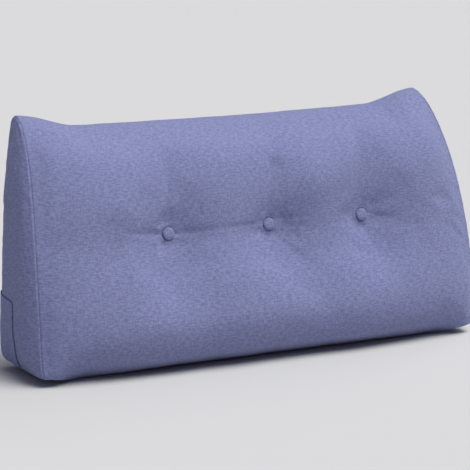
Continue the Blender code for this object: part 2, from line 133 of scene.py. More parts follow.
# Folds of the front panel, as (x, height) in metres. A fold is a valley whose walls reach LEFT and RIGHT
# of it, seen along its run, and its DEPTH goes from one end to the other. A negative depth is a ridge.
FOLDS = (
    # start, end, left, right, depth at start, depth at end
    ((-0.222, 0.290), (-0.198, 0.420), 0.018, 0.070, 0.023, 0.006),
    ((0.006, 0.290), (0.030, 0.390), 0.017, 0.080, 0.026, 0.010),
    ((0.036, 0.395), (0.046, 0.455), 0.020, 0.030, 0.006, 0.003),
    ((0.212, 0.290), (0.246, 0.425), 0.022, 0.085, 0.023, 0.009),
    ((-0.330, 0.291), (-0.010, 0.282), 0.050, 0.036, 0.004, 0.008),
    ((0.000, 0.282), (0.225, 0.280), 0.050, 0.036, 0.008, 0.007),
    ((0.225, 0.280), (0.340, 0.262), 0.046, 0.036, 0.007, 0.001),
    ((0.010, 0.268), (0.128, 0.150), 0.034, 0.024, 0.010, 0.002),
    ((-0.040, 0.242), (0.062, 0.112), 0.030, 0.030, -0.008, -0.004),
    ((0.228, 0.262), (0.305, 0.100), 0.036, 0.026, 0.009, 0.002),
    ((0.185, 0.245), (0.272, 0.120), 0.030, 0.030, -0.007, -0.004),
    ((-0.224, 0.262), (-0.212, 0.100), 0.036, 0.026, 0.008, 0.002),
    ((-0.300, 0.240), (-0.240, 0.130), 0.034, 0.034, -0.007, -0.004),
    ((-0.470, 0.276), (-0.330, 0.272), 0.038, 0.036, 0.003, 0.004),
)

# Fine creases pressed into the finished cover, written as the folds are
CREASES = (
    # start, end, left, right, depth at start, depth at end
    ((-0.312, 0.287), (-0.228, 0.273), 0.007, 0.0040, 0.0010, 0.0024),
    ((-0.196, 0.272), (-0.130, 0.278), 0.007, 0.0040, 0.0018, 0.0012),
    ((-0.125, 0.279), (-0.004, 0.278), 0.007, 0.0040, 0.0012, 0.0018),
    ((0.030, 0.282), (0.105, 0.286), 0.005, 0.0035, 0.0014, 0.0002),
    ((0.249, 0.276), (0.306, 0.262), 0.004, 0.0030, 0.0014, 0.0002),
    ((0.014, 0.266), (0.063, 0.217), 0.006, 0.005, 0.0018, 0.0014),
    ((0.063, 0.217), (0.118, 0.164), 0.008, 0.006, 0.0014, 0.0003),
    ((-0.230, 0.300), (-0.196, 0.418), 0.006, 0.012, 0.0012, 0.0008),
    ((-0.003, 0.300), (0.015, 0.372), 0.006, 0.012, 0.0020, 0.0018),
    ((0.015, 0.372), (0.042, 0.398), 0.007, 0.010, 0.0020, 0.0012),
    ((0.212, 0.300), (0.243, 0.415), 0.006, 0.012, 0.0018, 0.0010),
    ((0.230, 0.262), (0.262, 0.190), 0.007, 0.006, 0.0018, 0.0006),
    ((-0.224, 0.262), (-0.230, 0.196), 0.007, 0.006, 0.0016, 0.0004),
)

# Lumps and hollows that the filling settles into, added to the finished front
LUMPS = (
    # centre as (x, height), half-length, half-width, turn in degrees, rise
    ((0.035, 0.103), 0.499, 0.049, 0, 0.0169),
    ((0.062, 0.226), 0.402, 0.048, -2, -0.0162),
    ((-0.312, 0.093), 0.365, 0.084, -16, 0.0083),
    ((-0.050, 0.225), 0.090, 0.118, -96, 0.0080),
    ((0.199, 0.091), 0.091, 0.079, 67, 0.0055),
    ((-0.254, 0.188), 0.074, 0.042, -82, -0.0091),
    ((0.019, 0.186), 0.101, 0.038, -38, -0.0122),
    ((0.213, 0.206), 0.097, 0.027, -57, -0.0056),
    ((-0.134, 0.344), 0.157, 0.034, 48, 0.0070),
    ((0.091, 0.355), 0.078, 0.053, 22, 0.0152),
    ((0.327, 0.379), 0.095, 0.065, 32, 0.0134),
    ((-0.190, 0.237), 0.386, 0.046, 106, -0.0045),
    ((0.033, 0.298), 0.024, 0.067, 23, -0.0030),
    ((0.245, 0.309), 0.024, 0.034, 99, -0.0025),
    ((-0.404, 0.466), 0.039, 0.094, -15, -0.0107),
    ((0.432, 0.276), 0.033, 0.062, -3, -0.0066),
    ((-0.290, 0.314), 0.111, 0.043, -35, 0.0071),
    ((0.374, 0.272), 0.059, 0.025, -30, -0.0037),
    # from here on, those that only the cloth shows
    ((0.266, 0.057), 0.425, 0.044, -1, 0.0082),
    ((-0.080, 0.229), 0.300, 0.045, 14, -0.0012),
    ((-0.292, 0.125), 0.057, 0.049, 0, 0.0043),
    ((-0.070, 0.177), 0.139, 0.103, 36, 0.0093),
    ((0.236, 0.194), 0.197, 0.089, 3, 0.0088),
    ((-0.138, 0.267), 0.093, 0.018, 1, -0.0022),
    ((-0.005, 0.228), 0.065, 0.028, -34, -0.0039),
    ((0.269, 0.192), 0.041, 0.056, -62, -0.0061),
    ((-0.128, 0.405), 0.043, 0.083, -64, 0.0092),
    ((-0.187, 0.406), 0.308, 0.084, 20, -0.0042),
    ((0.300, 0.354), 0.105, 0.032, 98, 0.0010),
    ((-0.217, 0.294), 0.037, 0.018, 110, -0.0045),
    ((0.011, 0.270), 0.031, 0.021, -1, -0.0073),
    ((0.221, 0.272), 0.030, 0.031, -30, -0.0070),
    ((-0.382, 0.462), 0.083, 0.060, 13, 0.0077),
    ((-0.452, 0.113), 0.231, 0.030, 3, -0.0027),
    ((-0.214, 0.401), 0.141, 0.021, -50, -0.0010),
    ((0.398, 0.296), 0.116, 0.101, -12, -0.0037),
    ((-0.196, 0.255), 0.081, 0.023, 37, 0.0052),
    ((0.000, 0.236), 0.024, 0.032, -25, 0.0058),
    ((0.218, 0.248), 0.035, 0.020, -35, 0.0049),
    ((-0.207, 0.327), 0.029, 0.051, -37, 0.0102),
    ((0.025, 0.319), 0.032, 0.026, 11, 0.0041),
    ((0.219, 0.305), 0.073, 0.027, 16, 0.0050),
)

# Covered buttons
BUTTON_RADIUS = 0.013
BUTTON_FOOT = 0.0112  # radius of its flat underside
BUTTON_RIM = 0.0024
BUTTON_DOME = 0.0044
BUTTON_LIFT = 0.0002  # clear of the cloth below
BUTTON_TURN = 0.75  # how far down its rim the cloth turns under, on a ball of radius 1
BUTTON_ROUNDNESS = 0.92
PLEATS_BELOW = 0.25  # where on that ball the pleats are deepest, and how far they reach
PLEATS_REACH = 0.45

# Closure flap round the back's foot and onto both ends
FLAP_HEIGHT = 0.154
FLAP_SHARE_FOOT = 0.53  # where its front edge crosses the end panel, from front seam to back seam
FLAP_SHARE_TOP = 0.435
FLAP_SHARE_REACH = 0.60  # share of its height over which the edge swings to the front
FLAP_CORNER = 0.004  # how far its upper front corner is cut down
FLAP_SIDE_CLOTH = 0.19  # cloth across an end panel, which sets the weave's run there
FLAP_EDGE_ROUND = 0.35  # share of its thickness
LEAST_GAP = 0.8  # share of the gap that is kept where smoothing closes it
FLAP_ON_END = 18
FLAP_ON_BACK = 130
FLAP_UPWARD = 24
AIM_STEPS = 6  # how often its heights on the ends are set nearer to what is wanted

# Lattice of the cover before it is subdivided
LENGTHWISE = 118
UPWARD = 76
ACROSS = 18
SEAM_CROWDING = 4.0  # how many more lines lie beside an end seam than elsewhere
BUTTON_CROWDING = 2.0  # how many more lines pass a button
CROWDING_RUN = 0.028
CROWDING_SAMPLES = 4001
MIDDLE_SAMPLES = 801
EPSILON = 1e-4

# Where the cloth is held while it is filled
HOLD_SEAM_RUN = 0.012
HOLD_BUTTON = 0.017
HOLD_LEAST = 0.02  # a weaker hold than this is none
HOLD_TOP = 0.12  # share of the rise, below the ridge
FRAMES = 20

# Reach of what is sewn and pressed into the filled cover. A GRAIN is the size of one bump.
TURNED_IN = 1.5  # seam widths from the seam to the ridge of the turned-in cloth
PUCKER_GRAIN = 0.016
PUCKER_RUN = 0.020
LUMP_SEAM_RUN = 0.09
LUMP_LOW = 0.05  # shares of the rise where the lumps set in and where they end
LUMP_HIGH = 0.90
LUMP_FADE = 0.10
LUMP_BUTTON = 0.010  # distance from a button's middle where the lumps set in
LUMP_BUTTON_RUN = 0.014
COLLAR_FOOT = 0.0120  # distances from a button's middle
COLLAR_RISE = 0.0024
COLLAR_TOP = 0.015
COLLAR_FALL = 0.020
UNEVEN_GRAIN = 0.075
UNEVEN_FINE_GRAIN = 0.030
UNEVEN_SEAM_RUN = 0.05
SEED_STEPS = (7.31, 3.17, 5.73)  # how far apart the seeds lie in the noise

# Places of the pieces' cloth on the weave, in metres
BACK_SHIFT = 1.5
END_SHIFT = 2.0
BUTTON_SHIFT = 3.0
FLAP_SHIFT = 5.0

# The weave: RELIEF is height, the rest is colour. The threads' crossings are also painted into the colour,
# lighter on their tops, as painted light and shade of their relief
WEFT_SHARE = 0.62  # how much of the flecks the level threads carry
WARP_SHIFT = 40.0  # keeps the upright threads' flecks apart from theirs
SLUB = 7.0  # how far the threads wander, in threads
THREAD_RELIEF = 0.08
FLECK_RELIEF = 0.9
# painted light and shade of the threads' relief: the yarns' mix is lighter where the threads cross
THREAD_PAINTED_LIGHT = 0.10
THREAD_MEAN = 0.4
LIGHT_FROM = 0.35  # shades of the darkest and the lightest yarn
LIGHT_TO = 0.65
RELIEF_STRENGTH = 0.6
RELIEF_HEIGHT = 0.0004

# Studio
FLOOR_SIZE = 60.0
FILL_COLOUR = (0.92, 0.95, 1.26, 1.0)
TARGET = Vector((-0.0243, BACK_Y - 0.1001, 0.2417))
KEY_FROM = (45, 65)  # azimuth and elevation in degrees
FRONT_FROM = (15, 65)
BACK_FROM = (120, 40)


def ease(value):
    """0 to 1, flat at both ends."""
    value = np.clip(value, 0.0, 1.0)
    return value * value * (3 - 2 * value)


def crown(distance, run, power=2.0):
    """Rise of a stuffed panel at a distance from its seam, 1 past the run."""
    return 1 - (1 - np.clip(distance / run, 0.0, 1.0)) ** power


def bell(distance, run):
    return np.exp(-((distance / run) ** 2))


def half_length(height):
    """Half the cushion's length at a height: a parabola through foot, belly and top."""
    share = np.clip(height / HEIGHT, 0.0, 1.0)
    foot = HALF_FOOT * (share - BELLY_SHARE) * (share - 1) / BELLY_SHARE
    belly = HALF_BELLY * share * (share - 1) / (BELLY_SHARE * (BELLY_SHARE - 1))
    top = HALF_TOP * share * (share - BELLY_SHARE) / (1 - BELLY_SHARE)
    tuck = FOOT_TUCK * np.maximum(1 - height / FOOT_TUCK_RISE, 0.0) ** 2
    return foot + belly + top - tuck


def back_inset(y, height):
    """How much shorter half the cushion is near its back."""
    upward = ease(height / BACK_INSET_RISE)
    fall = ease((height - BACK_INSET_BELLY) / BACK_INSET_FALL)
    upward = upward * (1 - (1 - BACK_INSET_AT_TOP) * fall)
    return BACK_INSET * upward * ease((y - BACK_Y) / BACK_INSET_RUN + 1)


def ridge_height(distance):
    """Height of the ridge at a distance from the end seam: an ear at the corner, then a slow sag."""
    inward = np.clip(distance / EAR_RUN, 0.0, 1.0)
    ear = EAR * (EAR_POINT * inward + (1 - EAR_POINT) * ease(inward))
    return HEIGHT - ear - RIDGE_SAG * (1 - np.exp(-distance / RIDGE_SAG_RUN))


MIDDLE_HEIGHT = float(ridge_height(HALF_BELLY))


def front_angle(height):
    """Angle on the front's section, at mid-length, that lies at a height."""
    share = (height - FRONT_ROLL_MIDDLE) / (MIDDLE_HEIGHT - FRONT_ROLL_MIDDLE)
    return math.asin(share ** (BULGE_MIDDLE / 2))


TOP_ANGLE = front_angle(TOP_ROW_HEIGHT)


class Section:
    """Sections at an array of places along the cushion, as closed outlines in the Y-Z plane."""

    def __init__(self, place):
        self.place = place
        self.distance = HALF_BELLY * (1 - np.abs(place))
        self.ridge = ridge_height(self.distance)
        inward = ease(self.distance / ROLL_RUN)
        end_bulge = np.where(place < 0, BULGE_LEFT, BULGE_RIGHT)
        self.power = 2 / (end_bulge + (BULGE_MIDDLE - end_bulge) * inward)
        self.roll = FRONT_ROLL_END + (FRONT_ROLL_MIDDLE - FRONT_ROLL_END) * inward

    def slope(self, angle):
        """Point on the bulging front, from the roll at angle 0 to the ridge at a right angle."""
        ridge_y = BACK_Y - RIDGE_RADIUS
        reach = np.maximum(np.cos(angle), 0.0) ** self.power
        rise = np.maximum(np.sin(angle), 0.0) ** self.power
        return (
            ridge_y - (ridge_y - FRONT_Y) * reach,
            self.roll + (self.ridge - self.roll) * rise,
        )

    def front(self, share):
        turn = share / ROLL_SHARE * math.pi / 2
        high = self.slope(np.maximum(share - ROLL_SHARE, 0.0) / (1 - ROLL_SHARE) * TOP_ANGLE)
        low = FRONT_Y + self.roll * (1 - np.sin(turn)), self.roll * (1 - np.cos(turn))
        return tuple(np.where(share < ROLL_SHARE, *pair) for pair in zip(low, high))

    def top(self, share):
        slope = self.slope(TOP_ANGLE + (math.pi / 2 - TOP_ANGLE) * np.minimum(share / TOP_SPLIT, 1.0))
        turn = (share - TOP_SPLIT) / (1 - TOP_SPLIT) * math.pi / 2
        rolled = (
            BACK_Y - RIDGE_RADIUS * (1 - np.sin(turn)),
            self.ridge - RIDGE_RADIUS * (1 - np.cos(turn)),
        )
        return tuple(np.where(share < TOP_SPLIT, *pair) for pair in zip(slope, rolled))

    def back(self, row):
        """Back panel at a share of its rise. Below 0 it is the roll, as a share of the turn."""
        turn = (1 + np.minimum(row, 0.0)) * math.pi / 2
        rise = self.ridge - RIDGE_RADIUS - BACK_ROLL
        return (
            BACK_Y - BACK_ROLL * (1 - np.sin(turn)),
            BACK_ROLL * (1 - np.cos(turn)) + rise * np.maximum(row, 0.0),
        )

    def base(self, share):
        start = FRONT_Y + self.roll
        return start + (BACK_Y - BACK_ROLL - start) * share, np.zeros_like(start * share)


def back_row(height, ridge):
    """Row of the back panel at a height, below 0 on its roll as in Section.back."""
    rolled = np.arccos(1 - np.minimum(height / BACK_ROLL, 1.0)) / (math.pi / 2) - 1
    risen = (height - BACK_ROLL) / (ridge - RIDGE_RADIUS - BACK_ROLL)
    return np.where(height < BACK_ROLL, rolled, risen)


def outward(outline, share, low, high, side):
    """Normals of an outline in Y and Z, turned to the given side of its run."""
    step = 1e-3
    y0, z0 = outline(np.maximum(share - step, low))
    y1, z1 = outline(np.minimum(share + step, high))
    long = np.hypot(y1 - y0, z1 - z0)
    return side * (z0 - z1) / long, side * (y1 - y0) / long


def valley(fold, x, height):
    """Depth of one fold or crease at places on the front panel."""
    start, end, left, right, first, last = fold
    run = Vector(end) - Vector(start)
    along = ((x - start[0]) * run.x + (height - start[1]) * run.y) / run.length_squared
    across = ((x - start[0]) * run.y - (height - start[1]) * run.x) / run.length
    reach = np.where(across > 0, right, left)
    past = np.maximum(np.maximum(-along, along - 1), 0.0) * run.length
    depth = first + (last - first) * np.clip(along, 0.0, 1.0)
    return depth * bell(across, reach) * bell(past, min(left, right))


def lump(shape, x, height):
    """Rise of one lump of the filling at places on the front panel."""
    centre, long, wide, turn, rise = shape
    cos, sin = math.cos(math.radians(turn)), math.sin(math.radians(turn))
    dx, dz = x - centre[0], height - centre[1]
    return rise * bell(dx * cos + dz * sin, long) * bell(dz * cos - dx * sin, wide)


def draw_up(distance, height):
    """Height that a point of the foot is drawn up to at a distance from the end seam."""
    lift = FOOT_LIFT * (1 - ease(distance / FOOT_LIFT_RUN)) * (1 - ease(height / FOOT_LIFT_RISE))
    corner = CORNER_LIFT * bell(distance, CORNER_LIFT_RUN) * (1 - ease(height / CORNER_LIFT_RISE))
    return height + lift + corner


def lie(section, y, z, normal, rise):
    """Set a section's points out along their normals and place them along the cushion."""
    y = y + normal[0] * rise
    z = draw_up(section.distance, np.maximum(z + normal[1] * rise, 0.0))
    x = section.place * (half_length(z) - back_inset(y, z)) + TOP_LEAN * (z / HEIGHT) ** 3
    return np.stack((x, y, z), -1)


def front_swell(share):
    """Share of the front's crown: steep at the base and dying out gently towards the ridge."""
    low = np.sin(math.pi * np.clip(share, 0.0, 0.5)) ** CROWN_POWER
    return low * (1 - ease(np.maximum(2 * share - 1, 0.0) ** 2))


def in_space(normal):
    """Normals in X, Y and Z from the Y and Z of a section's normals."""
    return np.stack((np.zeros_like(normal[0]), *normal), -1)


def plain_front(place, share):
    """Crowned front panel before its tufts and folds, with its normals."""
    section = Section(place)
    normal = outward(section.front, share, 0.0, 1.0, 1)
    rise = FRONT_CROWN * front_swell(share)
    rise = rise * crown(section.distance, FRONT_CROWN_RUN, FRONT_CROWN_POWER)
    rise = rise + SHOULDER * front_swell(share) * crown(section.distance, SHOULDER_RUN)
    rise = rise + TOP_CROWN * ease(2 * share - 1) * crown(section.distance, CROWN_RUN)
    return lie(section, *section.front(share), normal, rise), in_space(normal)


def crowned_front(place, share):
    return plain_front(place, share)[0]


def button_seats():
    """Centre of each tuft's floor, with its normal."""
    share = ROLL_SHARE + (1 - ROLL_SHARE) * front_angle(BUTTON_HEIGHT) / TOP_ANGLE
    place = np.array(list(BUTTON_X.values())) / half_length(BUTTON_HEIGHT)
    points, normals = plain_front(place, np.full(len(place), share))
    return list(zip(points - normals * TUFT_DEPTH, normals))


def draw_in(points, normals, share):
    """Press the folds and tufts into the front. The share counts on past 1 over the narrow top."""
    inner = crown(HALF_BELLY - np.abs(points[..., 0]), CROWN_RUN)
    inner = inner * np.sin(math.pi * np.clip(share, 0.0, 0.5)) ** CROWN_POWER
    inner = inner * (1 - ease((share - 1) / TOP_SPLIT))
    depth = sum(valley(fold, points[..., 0], points[..., 2]) for fold in FOLDS)
    points = points - normals * (depth * inner)[..., None]
    reach = 1 - ease((share - TUFT_REACH) / (1 - TUFT_REACH))
    for seat, lean in button_seats():
        above = (points - seat) @ lean
        away = np.linalg.norm(points - seat - above[..., None] * lean, axis=-1)
        fall = np.maximum(away - TUFT_SEAT, 0.0) / TUFT_RUN
        points = points - lean * (above * np.exp(-fall) * reach)[..., None]
    return points


def front_panel(place, share):
    return draw_in(*plain_front(place, share), share)


def back_panel(place, row):
    section = Section(place)
    normal = outward(section.back, row, -1.0, 1.0, -1)
    rise = BACK_CROWN * crown(section.distance, CROWN_RUN)
    rise = rise * ease(row / BACK_CROWN_FOOT) * ease((1 - row) / BACK_CROWN_HEAD)
    return lie(section, *section.back(row), normal, rise)


def top_panel(place, share):
    section = Section(place)
    normal = outward(section.top, share, 0.0, 1.0, 1)
    rise = TOP_CROWN * (1 - ease(2 * share - 1)) * crown(section.distance, CROWN_RUN)
    points = lie(section, *section.top(share), normal, rise)
    return draw_in(points, in_space(normal), 1 + share)


def base_panel(place, share):
    section = Section(place)
    return lie(section, *section.base(share), (0.0, -1.0), 0.0)


def end_panel(place, share, row, up, across):
    """End panel: a patch spanned by its four seams, crowned outwards."""
    zero, one = np.zeros_like(up), np.ones_like(up)
    front, back = front_panel(place, share), back_panel(place, row)
    bottom, top = base_panel(place, across), top_panel(place, across)
    u, v = across[..., None], up[..., None]
    corners = (
        front_panel(place, zero) * (1 - u) * (1 - v)
        + back_panel(place, -one) * u * (1 - v)
        + front_panel(place, one) * (1 - u) * v
        + back_panel(place, one) * u * v
    )
    point = front * (1 - u) + back * u + bottom * (1 - v) + top * v - corners
    width = np.linalg.norm(back - front, axis=-1)
    rise = crown(np.minimum(across, 1 - across) * width, END_CROWN_RUN)
    rise = rise * crown(point[..., 2] - FOOT_LIFT, END_CROWN_RUN)
    rise = rise * crown(HEIGHT - point[..., 2], END_CROWN_HEAD)
    shoulder = crown(across * width, END_SHOULDER_RUN) * (1 - ease(across / END_SHOULDER_SHARE))
    shoulder = shoulder * crown(point[..., 2] - FOOT_LIFT, END_CROWN_RUN)
    shoulder = shoulder * crown(HEIGHT - point[..., 2], END_CROWN_RUN)
    shoulder = shoulder * np.where(place < 0, END_SHOULDER_LEFT, END_SHOULDER_RIGHT)
    point[..., 0] += np.sign(place) * (END_CROWN * rise + shoulder)
    return point


def crowd(low, high, count, *places):
    """Places from low to high that crowd round the given ones, each a place, its run and its crowding."""
    fine = np.linspace(low, high, CROWDING_SAMPLES)
    density = 1 + sum(extra * bell(fine - place, run) for place, run, extra in places)
    passed = np.concatenate(([0.0], np.cumsum((density[1:] + density[:-1]) / 2)))
    return np.interp(np.linspace(0, passed[-1], count + 1), passed, fine)


def running_length(points):
    """Distance covered from the first point to each of a row of points."""
    steps = np.linalg.norm(np.diff(points, axis=0), axis=1)
    return np.concatenate(([0.0], np.cumsum(steps)))


class Lattice:
    """Where the cover's lattice lines lie: along its length, up its rise, and from front to back."""

    def __init__(self):
        seats = [(x, CROWDING_RUN, BUTTON_CROWDING) for x in BUTTON_X.values()]
        seams = [(side * HALF_BELLY, CROWDING_RUN, SEAM_CROWDING) for side in (-1, 1)]
        self.places = crowd(-HALF_BELLY, HALF_BELLY, LENGTHWISE, *seats, *seams) / HALF_BELLY
        fine = np.linspace(0, 1, MIDDLE_SAMPLES)
        middle = crowned_front(np.zeros_like(fine), fine)
        arc = running_length(middle)
        self.level_lines = middle[:, 2], arc
        seat = np.interp(BUTTON_HEIGHT, middle[:, 2], arc)
        self.shares = np.interp(
            crowd(0, arc[-1], UPWARD, (seat, CROWDING_RUN, BUTTON_CROWDING)), arc, fine
        )
        at_middle = crowned_front(np.zeros_like(self.shares), self.shares)[:, 2]
        at_end = crowned_front(-np.ones_like(self.shares), self.shares)[:, 2]
        at_end = at_end - at_end[0]
        level = (at_middle / at_middle[-1] + at_end / at_end[-1]) / 2
        self.rows = back_row(level * (MIDDLE_HEIGHT - RIDGE_RADIUS), MIDDLE_HEIGHT)
        self.across = (1 - np.cos(np.linspace(0, math.pi, ACROSS + 1))) / 2
        self.up_front, self.over_top, self.under = (
            running_length(panel(np.zeros_like(lines), lines))
            for panel, lines in (
                (crowned_front, self.shares), (top_panel, self.across), (base_panel, self.across),
            )
        )

    def up_cloth(self, height):
        """Length of cloth from the base up to a height, at mid-length."""
        past = np.maximum(height - self.level_lines[0][-1], 0.0)
        return np.interp(height, *self.level_lines) + past

    def weft(self, i, j):
        """Where the weave's level threads run on the front, so that they stay level towards the ends."""
        at_place = crowned_front(self.places[i], self.shares[j])[..., 2]
        at_middle = crowned_front(np.zeros_like(self.places[i]), self.shares[j])[..., 2]
        return self.up_front[j] + self.up_cloth(at_place) - self.up_cloth(at_middle)

    def points(self, i, j, k):
        """Positions of lattice points on the sewn outline."""
        place, share, row, across = self.places[i], self.shares[j], self.rows[j], self.across[k]
        made = base_panel(place, across)
        for chosen, points in (
            (j == UPWARD, top_panel(place, across)),
            (k == ACROSS, back_panel(place, row)),
            (k == 0, front_panel(place, share)),
        ):
            made[chosen] = points[chosen]
        inside = (j > 0) & (j < UPWARD) & (k > 0) & (k < ACROSS)
        level = np.linspace(0, 1, UPWARD + 1)
        made[inside] = end_panel(
            place[inside], share[inside], row[inside], level[j][inside], across[inside]
        )
        return made


def select_only(*items):
    bpy.ops.object.select_all(action="DESELECT")
    for item in items:
        item.select_set(True)
    bpy.context.view_layer.objects.active = items[-1]


def add_new(operator, **values):
    """The object that an operator adds, as the only one selected."""
    bpy.ops.object.select_all(action="DESELECT")
    operator(**values)
    return bpy.context.object


def read(layer, name, width=1, kind=np.float32):
    """A whole layer of a mesh as an array, with lengths in double precision."""
    values = np.empty(len(layer) * width, kind)
    layer.foreach_get(name, values)
    values = values.reshape(-1, width) if width > 1 else values
    return values.astype(float) if kind is np.float32 else values


def read_points(mesh):
    return read(mesh.vertices, "co", 3)


def set_points(mesh, points):
    mesh.vertices.foreach_set("co", points.astype(np.float32).ravel())
    mesh.update()


def choose_edges(mesh, mask):
    """Select just these edges, given as a mask, with the object out of edit mode."""
    for layer in (mesh.vertices, mesh.polygons):
        layer.foreach_set("select", np.zeros(len(layer), bool))
    mesh.edges.foreach_set("select", mask)


def edit(item, kind, *steps):
    """Run edit mode operators, each a pair of an operator and its values, on what is chosen."""
    select_only(item)
    bpy.context.tool_settings.mesh_select_mode = [kind == each for each in ("VERT", "EDGE", "FACE")]
    bpy.ops.object.mode_set(mode="EDIT")
    for operator, values in steps:
        operator(**values)
    bpy.ops.object.mode_set(mode="OBJECT")


def apply_modifier(item, kind, **values):
    select_only(item)
    bpy.ops.object.modifier_add(type=kind)
    modifier = item.modifiers[-1]
    for name, value in values.items():
        setattr(modifier, name, value)
    bpy.ops.object.modifier_apply(modifier=modifier.name)


def lattice_box(name, divisions):
    """A unit cube cut into even numbers of cells, one direction at a time: in halves and then in cells."""
    box = add_new(bpy.ops.mesh.primitive_cube_add, size=1.0, location=(0.5, 0.5, 0.5))
    box.name = box.data.name = name
    bpy.ops.object.transform_apply(location=True, rotation=False, scale=False)
    for axis, count in enumerate(divisions):
        for cuts in (1, count // 2 - 1):
            ends = read(box.data.edges, "vertices", 2, np.int32)
            places = read_points(box.data)
            along = np.abs(places[ends[:, 0]] - places[ends[:, 1]])[:, axis] > EPSILON
            choose_edges(box.data, along)
            edit(box, "EDGE", (bpy.ops.mesh.subdivide, {"number_cuts": cuts}))
    return box


def bumps(points, scale, seed):
    """Smooth unevenness from -1 to 1 at an array of points."""
    shift = Vector([seed * step for step in SEED_STEPS])
    return np.array([noise.noise(Vector(point) / scale + shift) for point in points])


def shape_cover(sizes):
    """The filled cover's mesh."""
    divisions = (LENGTHWISE, ACROSS, UPWARD)
    cover = lattice_box("tufted_cover", divisions)
    mesh = cover.data
    i, k, j = np.rint(read_points(mesh) * divisions).astype(int).T
    lattice = Lattice()
    points = lattice.points(i, j, k)
    set_points(mesh, points)
    for name, values in (("place", lattice.places[i]), ("across", k / ACROSS), ("up", j / UPWARD)):
        layer = mesh.attributes.new(name, "FLOAT", "POINT")
        layer.data.foreach_set("value", values.astype(np.float32))
    lay_weave(mesh, lattice, i, j, k, points)
    ends = read(mesh.edges, "vertices", 2, np.int32)

    def both(mask):
        return mask[ends[:, 0]] & mask[ends[:, 1]]

    at_end = both(i == 0) | both(i == LENGTHWISE)
    rim = both(k == 0) | both(k == ACROSS) | both(j == 0) | both(j == UPWARD)
    choose_edges(mesh, at_end & rim)
    edit(cover, "EDGE", (bpy.ops.transform.edge_crease, {"value": 1.0}))
    fill(cover, sizes)
    apply_modifier(cover, "SUBSURF", levels=1, render_levels=1)
    sew(mesh, sizes)
    return cover


def fill(cover, sizes):
    """Let the filling press the cloth out between its seams, its base and its tufts."""
    mesh = cover.data
    before = read_points(mesh)
    from_seam, _, _, up = seam_distances(mesh)
    held = np.maximum(bell(from_seam, HOLD_SEAM_RUN), up < EPSILON)
    for seat, _ in button_seats():
        held = np.maximum(held, np.linalg.norm(before - seat, axis=1) < HOLD_BUTTON)
    group = cover.vertex_groups.new(name="held")
    for index in np.nonzero(held > HOLD_LEAST)[0]:
        group.add([int(index)], float(held[index]), "REPLACE")
    select_only(cover)
    bpy.ops.object.modifier_add(type="CLOTH")
    cloth = cover.modifiers[-1]
    settings = cloth.settings
    settings.quality = 6
    settings.mass = 0.3
    settings.tension_stiffness = settings.compression_stiffness = sizes.stiffness
    settings.shear_stiffness = sizes.stiffness / 3
    settings.bending_stiffness = 0.3
    settings.shrink_min = -sizes.slack
    settings.use_pressure = True
    settings.uniform_pressure_force = sizes.pressure
    settings.vertex_group_mass = "held"
    settings.effector_weights.gravity = 0.0
    cloth.collision_settings.use_collision = False
    cloth.point_cache.frame_start, cloth.point_cache.frame_end = 1, FRAMES
    for each in range(1, FRAMES + 1):
        bpy.context.scene.frame_set(each)
    bpy.ops.object.modifier_apply(modifier=cloth.name)
    bpy.context.scene.frame_set(1)
    move = read_points(mesh) - before
    far = np.linalg.norm(move, axis=1)
    give = sizes.give * ease((1 - up) / HOLD_TOP) + EPSILON
    kept = give * np.tanh(far / give) / np.maximum(far, 1e-9)
    after = before + move * kept[:, None]
    after[:, 2] = np.maximum(after[:, 2], 0.0)
    set_points(mesh, after)
    cover.vertex_groups.clear()


def lay_weave(mesh, lattice, i, j, k, points):
    """UV map in metres: front, top, back and base are one length of cloth, and each end is its own."""
    corners = read(mesh.loops, "vertex_index", kind=np.int32)
    ci, cj, ck = i[corners], j[corners], k[corners]
    faces = np.repeat(np.arange(len(mesh.polygons)), 4)

    def whole_face(mask):
        """Corners of the faces that have all four corners in the mask."""
        return np.bincount(faces, mask)[faces] == 4

    u = lattice.places[ci] * HALF_BELLY
    v = -lattice.under[ck]
    weft = lattice.weft(i, j)[corners]
    for mask, value in (
        (cj == UPWARD, weft + lattice.over_top[ck]),
        (ck == ACROSS, BACK_SHIFT - points[corners][:, 2]),
        (ck == 0, weft),
    ):
        v = np.where(whole_face(mask), value, v)
    at_end = whole_face(ci == 0) | whole_face(ci == LENGTHWISE)
    place = points[corners]
    u = np.where(at_end, place[:, 1] + END_SHIFT * np.sign(lattice.places[ci]), u)
    v = np.where(at_end, place[:, 2], v)
    lay_flat(mesh, np.stack((u, v), -1))


